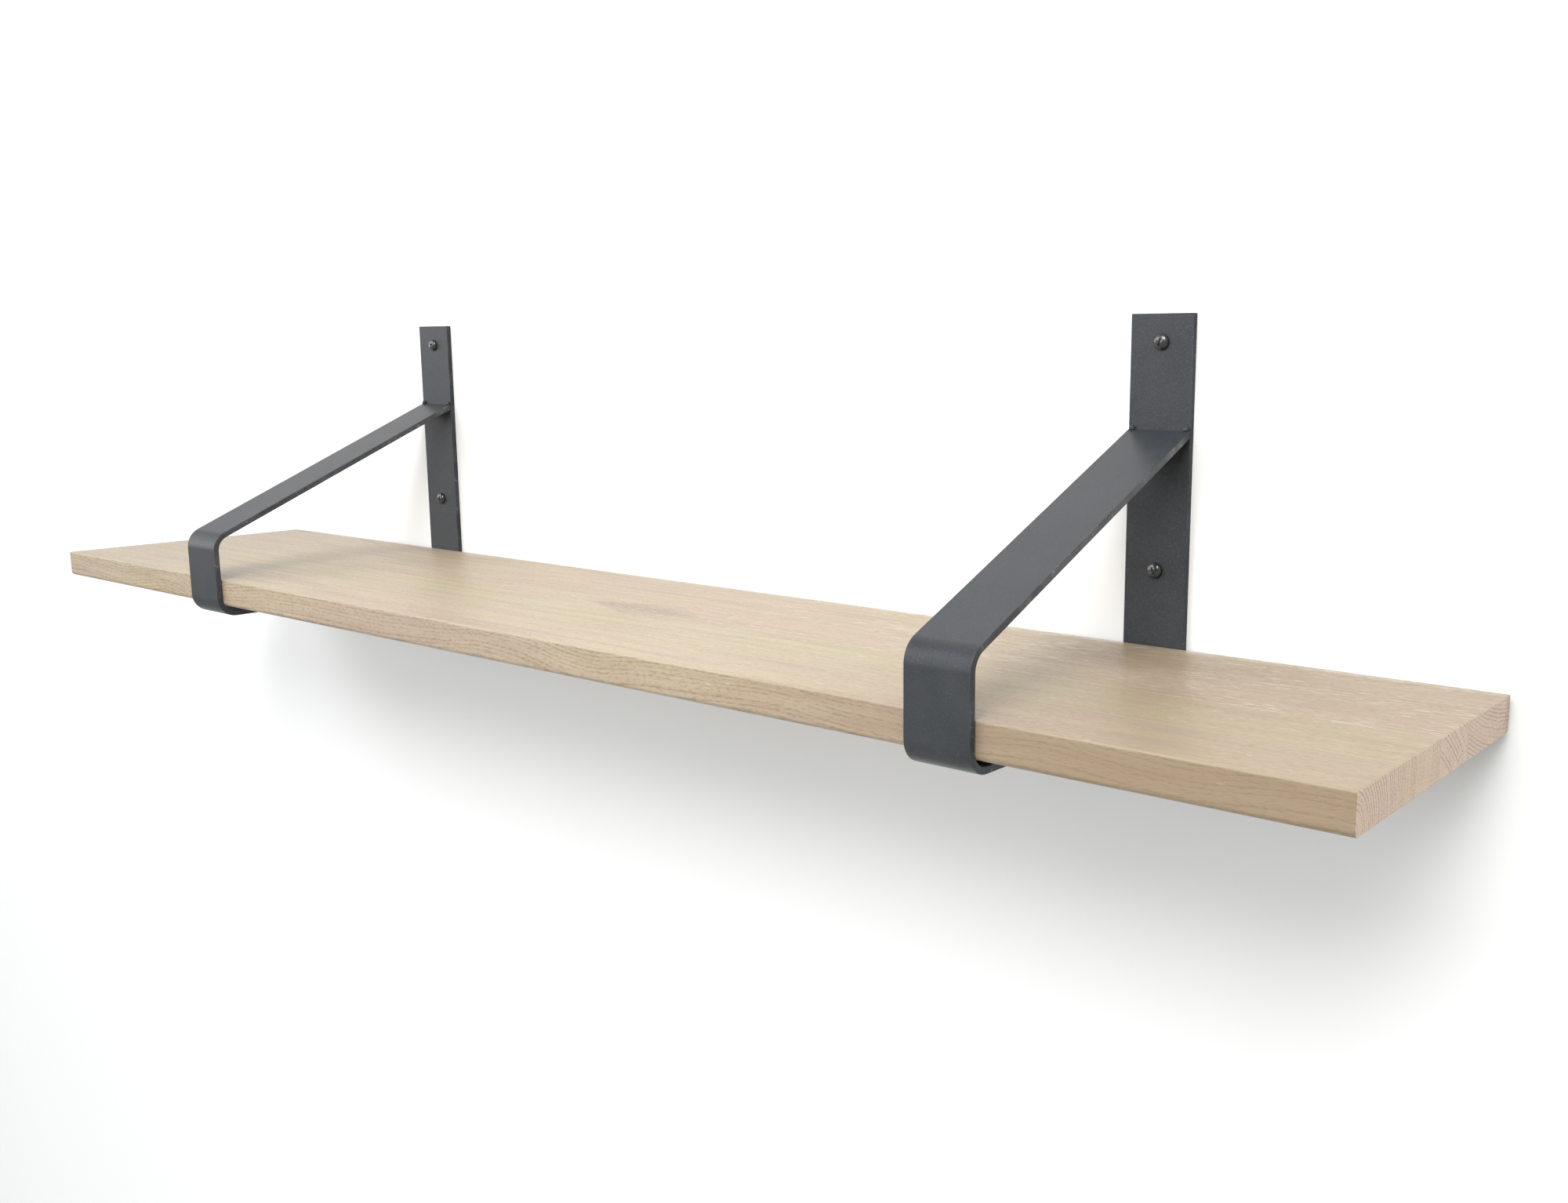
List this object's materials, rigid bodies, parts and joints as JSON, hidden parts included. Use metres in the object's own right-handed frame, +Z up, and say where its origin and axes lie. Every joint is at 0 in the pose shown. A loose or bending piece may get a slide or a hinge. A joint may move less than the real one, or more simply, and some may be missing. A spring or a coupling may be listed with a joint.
{
  "type": "wall shelf with brackets",
  "caption": "Solid oak wall shelf carried in closed loops of bent strip steel, screwed to the wall, with a sloping strut from each front lip back up to its wall plate.",
  "frame": {"origin": "centre of the rectangle of four wall screws, in the plane of the wall behind the bracket plates", "axes": "+X to the right along the board, seen from the room; +Y into the wall; +Z up"},
  "size_m": [1.145, 0.265, 0.2241],
  "materials": {
    "oak": "untreated, fine sanded",
    "bracket_coating": "matt anthracite powder coat",
    "black_screw": "black, glossy"
  },
  "bodies": {
    "root": {"left_bracket_strap": "bracket_coating", "right_bracket_strap": "bracket_coating", "left_bracket_root_weld": "bracket_coating", "right_bracket_root_weld": "bracket_coating", "left_bracket_left_tack": "bracket_coating", "left_bracket_right_tack": "bracket_coating", "right_bracket_left_tack": "bracket_coating", "right_bracket_right_tack": "bracket_coating", "left_upper_wall_screw": "black_screw", "left_lower_wall_screw": "black_screw", "right_upper_wall_screw": "black_screw", "right_lower_wall_screw": "black_screw", "left_front_board_screw": "black_screw", "left_back_board_screw": "black_screw", "right_front_board_screw": "black_screw", "right_back_board_screw": "black_screw", "front_stave": "oak", "second_stave": "oak", "third_stave": "oak", "back_stave": "oak"}
  },
  "joints": []
}
